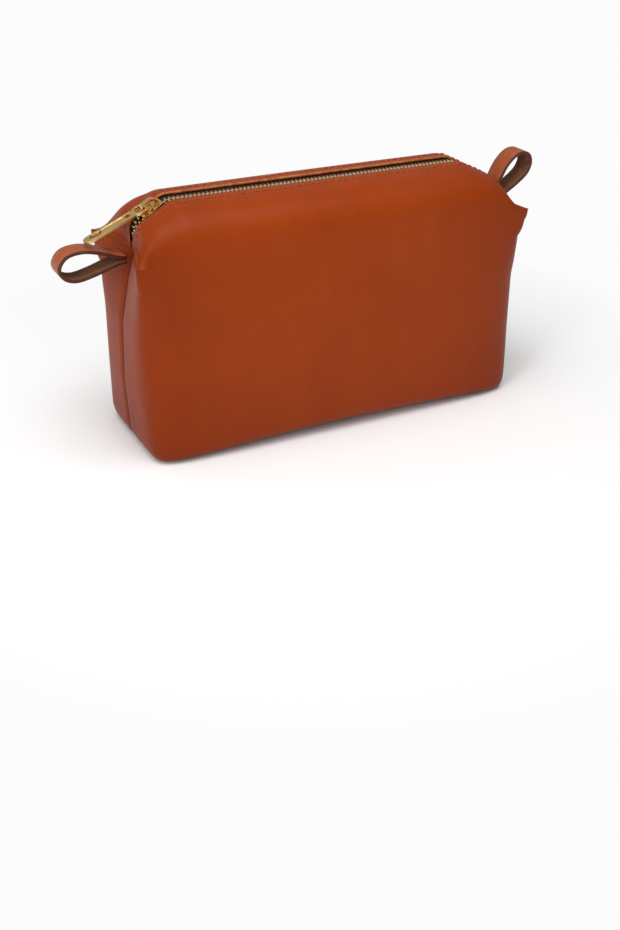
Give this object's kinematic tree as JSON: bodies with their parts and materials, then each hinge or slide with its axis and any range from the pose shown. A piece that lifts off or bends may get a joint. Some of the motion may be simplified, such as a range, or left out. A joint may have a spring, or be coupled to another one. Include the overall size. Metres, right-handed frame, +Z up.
{
  "type": "cosmetic bag",
  "caption": "Boxy leather zip pouch with boxed corners, a raised metal zipper along the top, a slider with a long flat puller, and a strap loop at each end.",
  "frame": {"origin": "on the floor under the middle of the bag's base, midway between the two ends and between front and back", "axes": "+X along the bag's length, from the slider's closed end to the other end; -Y is the front; +Z up"},
  "size_m": [0.298, 0.0872, 0.1388],
  "materials": {
    "hide": "smooth satin cowhide",
    "strap": "smooth satin cowhide, painted edges",
    "tape": "woven",
    "teeth_metal": "bright",
    "slider_metal": "polished",
    "spring_metal": "plain"
  },
  "bodies": {
    "bag": {"leather_body": "hide", "bottom_stop": "teeth_metal"},
    "front_top": {"front_lip": "hide", "zip_tape_front": "tape", "teeth_front": "teeth_metal", "top_stop_front": "teeth_metal"},
    "back_top": {"back_lip": "hide", "zip_tape_back": "tape", "teeth_back": "teeth_metal", "top_stop_back": "teeth_metal"},
    "slider": {"slider_body": "slider_metal", "slider_cap": "slider_metal", "lock_spring": "spring_metal"},
    "pull": {"puller": "slider_metal"},
    "left_loop": {"loop_left": "strap"},
    "right_loop": {"loop_right": "strap"}
  },
  "joints": [
    {"name": "slider_travel", "type": "hinge", "parent": "bag", "child": "slider", "pos_m": [0, 0, -0.85905], "axis": [0, 1, 0], "range_deg": [0, 10.43], "deforming": ["zip_tape_front", "zip_tape_back", "teeth_front", "teeth_back"]},
    {"name": "front_fold", "type": "hinge", "parent": "bag", "child": "front_top", "pos_m": [0, -0.0399, 0.112], "axis": [1, 0, 0], "range_deg": [0, 30]},
    {"name": "back_fold", "type": "hinge", "parent": "bag", "child": "back_top", "pos_m": [0, 0.0399, 0.112], "axis": [-1, 0, 0], "range_deg": [0, 30]},
    {"name": "puller_swing", "type": "hinge", "parent": "slider", "child": "pull", "pos_m": [-0.09859, 0, 0.13285], "axis": [0, 1, 0], "range_deg": [0, 175]},
    {"name": "left_loop_flex", "type": "hinge", "parent": "bag", "child": "left_loop", "pos_m": [-0.1144, 0, 0.1075], "axis": [0, -1, 0], "range_deg": [0, 35], "stiffness_Nm_per_rad": 0.02},
    {"name": "right_loop_flex", "type": "hinge", "parent": "bag", "child": "right_loop", "pos_m": [0.1144, 0, 0.1075], "axis": [0, 1, 0], "range_deg": [-12, 50], "stiffness_Nm_per_rad": 0.02}
  ],
  "couplings": [
    {"joint": "front_fold", "follows": "slider_travel", "ratio": 2.8758},
    {"joint": "back_fold", "follows": "slider_travel", "ratio": 2.8758}
  ]
}
